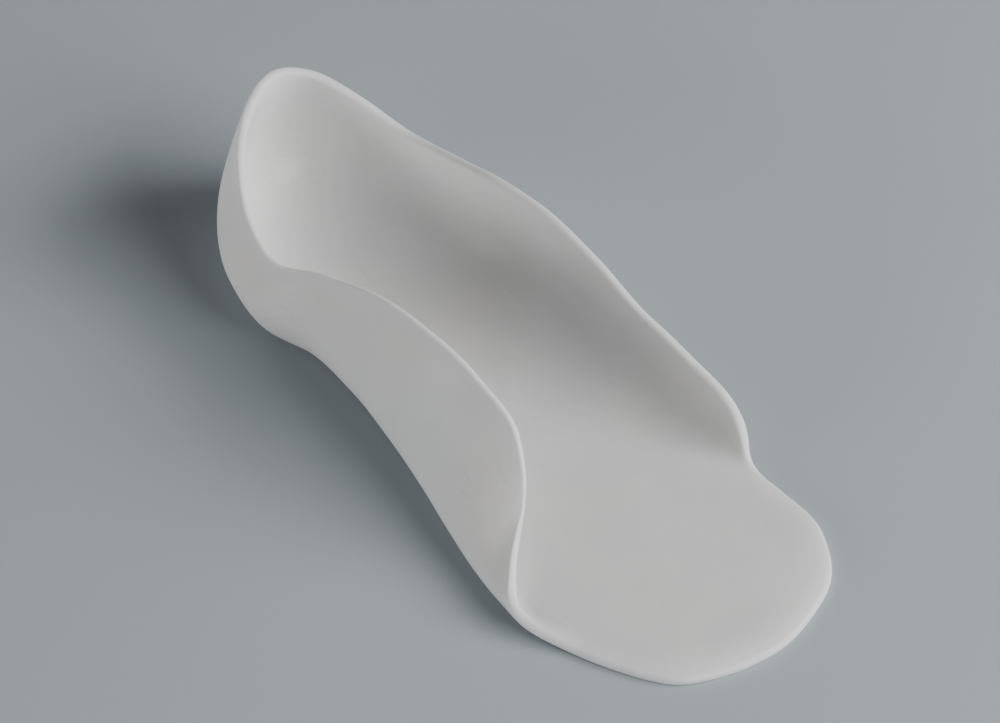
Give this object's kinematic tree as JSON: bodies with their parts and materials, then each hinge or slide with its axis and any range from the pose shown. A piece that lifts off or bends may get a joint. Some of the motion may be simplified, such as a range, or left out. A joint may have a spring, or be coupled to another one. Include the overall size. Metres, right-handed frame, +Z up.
{
  "type": "foot orthosis insert",
  "caption": "Moulded plastic foot orthosis insert with a deep heel cup, a leaning outer side wall, a flared inner wall with an arch, and a flat forefoot plate.",
  "frame": {"origin": "on the ground, under the middle of the shell's bounding box", "axes": "+Z up from the ground it lies on, +Y along the foot to the toes, +X to the outer (lateral) side of a right foot"},
  "size_m": [0.0728, 0.1898, 0.0402],
  "materials": {
    "shell_plastic": "white polypropylene sheet, satin, faintly mottled, with sanded edges"
  },
  "bodies": {
    "root": {"shell": "shell_plastic"}
  },
  "joints": []
}
